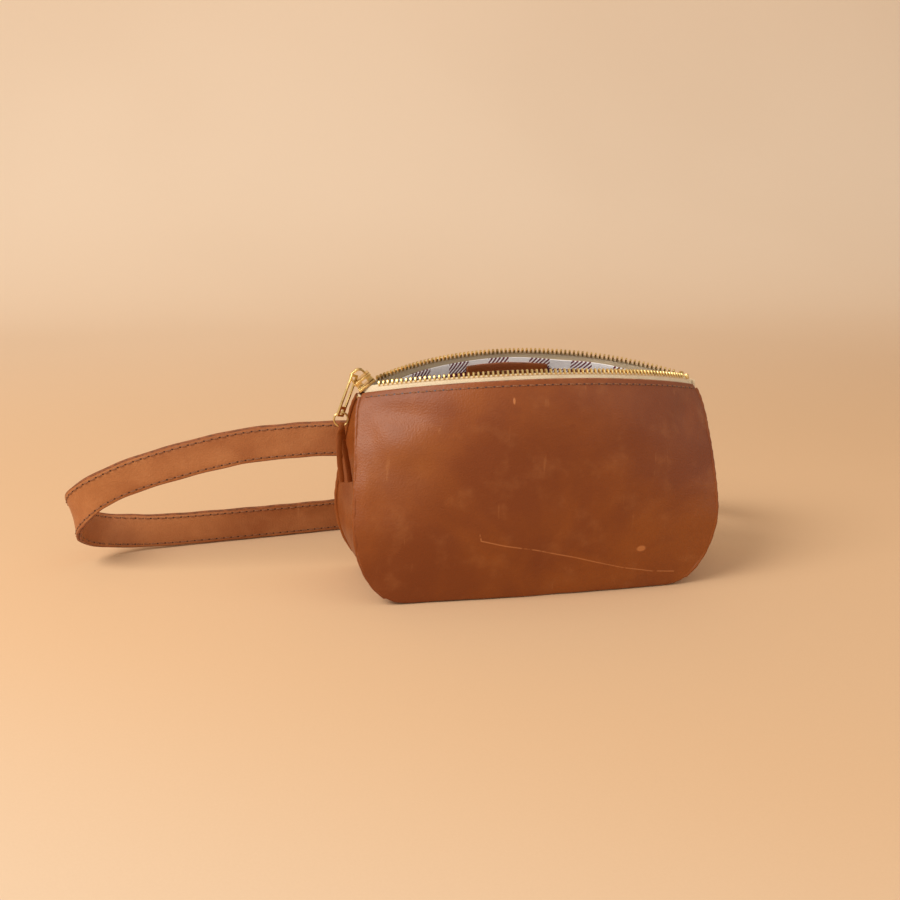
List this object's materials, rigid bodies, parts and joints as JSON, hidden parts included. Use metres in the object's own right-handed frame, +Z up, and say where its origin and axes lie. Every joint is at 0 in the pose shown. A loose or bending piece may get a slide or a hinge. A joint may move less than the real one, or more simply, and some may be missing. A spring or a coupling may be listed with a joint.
{
  "type": "leather waist pack",
  "caption": "Brown leather waist pack with an arched brass zip, gingham lining and a buckled two-ply waist strap.",
  "frame": {"origin": "middle of the bag's flat bottom, on the surface that the bag stands on", "axes": "+Z up, +X across the bag with the zip closing towards it, the bag's front faces -Y"},
  "size_m": [0.3908, 0.1515, 0.1271],
  "materials": {
    "leather": "waxed pull-up, semi-matt",
    "gingham": "woven cotton, matt",
    "zip_tape": "woven cotton tape, matt",
    "brass": "polished"
  },
  "bodies": {
    "root": {"front_panel": "leather", "back_panel": "leather", "gusset": "leather", "lining_front": "gingham", "lining_back": "gingham", "lining_gusset": "gingham", "inner_pocket": "leather", "zip_end_left": "zip_tape", "zip_end_right": "zip_tape", "bottom_stop": "brass", "strap_long_outer": "leather", "strap_long_inner": "leather", "strap_short_outer": "leather", "strap_short_inner": "leather", "buckle_frame": "brass"},
    "front_lip": {"zip_chain_front": "brass", "zip_tape_front": "zip_tape", "top_stop_front": "brass"},
    "back_lip": {"zip_chain_back": "brass", "zip_tape_back": "zip_tape", "top_stop_back": "brass"},
    "slider": {"slider_body": "brass", "slider_bridge": "brass"},
    "pull_tab": {"pull_tab": "brass"},
    "pull_ring": {"pull_ring": "brass"},
    "pull_thong": {"pull_thong": "leather"},
    "prong": {"buckle_prong": "brass"},
    "keeper": {"keeper_loop": "leather"}
  },
  "joints": [
    {"name": "zip_run", "type": "hinge", "parent": "root", "child": "slider", "pos_m": [0, 0, -0.00188], "axis": [0, 1, 0], "range_deg": [0, 72], "deforming": ["pull_thong"]},
    {"name": "front_lip_close", "type": "hinge", "parent": "root", "child": "front_lip", "pos_m": [0, 0, 0.1155], "axis": [1, 0, 0], "range_deg": [-70, 0], "deforming": ["zip_tape_front", "zip_chain_front"]},
    {"name": "back_lip_close", "type": "hinge", "parent": "root", "child": "back_lip", "pos_m": [0, 0, 0.1155], "axis": [1, 0, 0], "range_deg": [0, 70], "deforming": ["zip_tape_back", "zip_chain_back", "lining_back", "lining_front"]},
    {"name": "pull_tab_swing", "type": "hinge", "parent": "slider", "child": "pull_tab", "pos_m": [-0.09872, 0, 0.11915], "axis": [0, 1, 0], "range_deg": [0, 200]},
    {"name": "pull_ring_swing", "type": "hinge", "parent": "pull_tab", "child": "pull_ring", "pos_m": [-0.10586, 0, 0.0994], "axis": [0, 1, 0], "range_deg": [-8, 30], "deforming": ["pull_thong"]},
    {"name": "thong_swing", "type": "hinge", "parent": "pull_ring", "child": "pull_thong", "pos_m": [-0.10586, 0, 0.0918], "axis": [1, 0, 0], "range_deg": [-35, 35]},
    {"name": "prong_lift", "type": "hinge", "parent": "root", "child": "prong", "pos_m": [0.035, 0.103, 0.014], "axis": [0, 0, -1], "range_deg": [0, 8]},
    {"name": "keeper_slide", "type": "slide", "parent": "root", "child": "keeper", "axis": [1, 0, 0], "range_m": [-0.001, 0.024]}
  ],
  "couplings": [
    {"joint": "front_lip_close", "follows": "zip_run", "ratio": -0.97213},
    {"joint": "back_lip_close", "follows": "zip_run", "ratio": 0.97213}
  ]
}
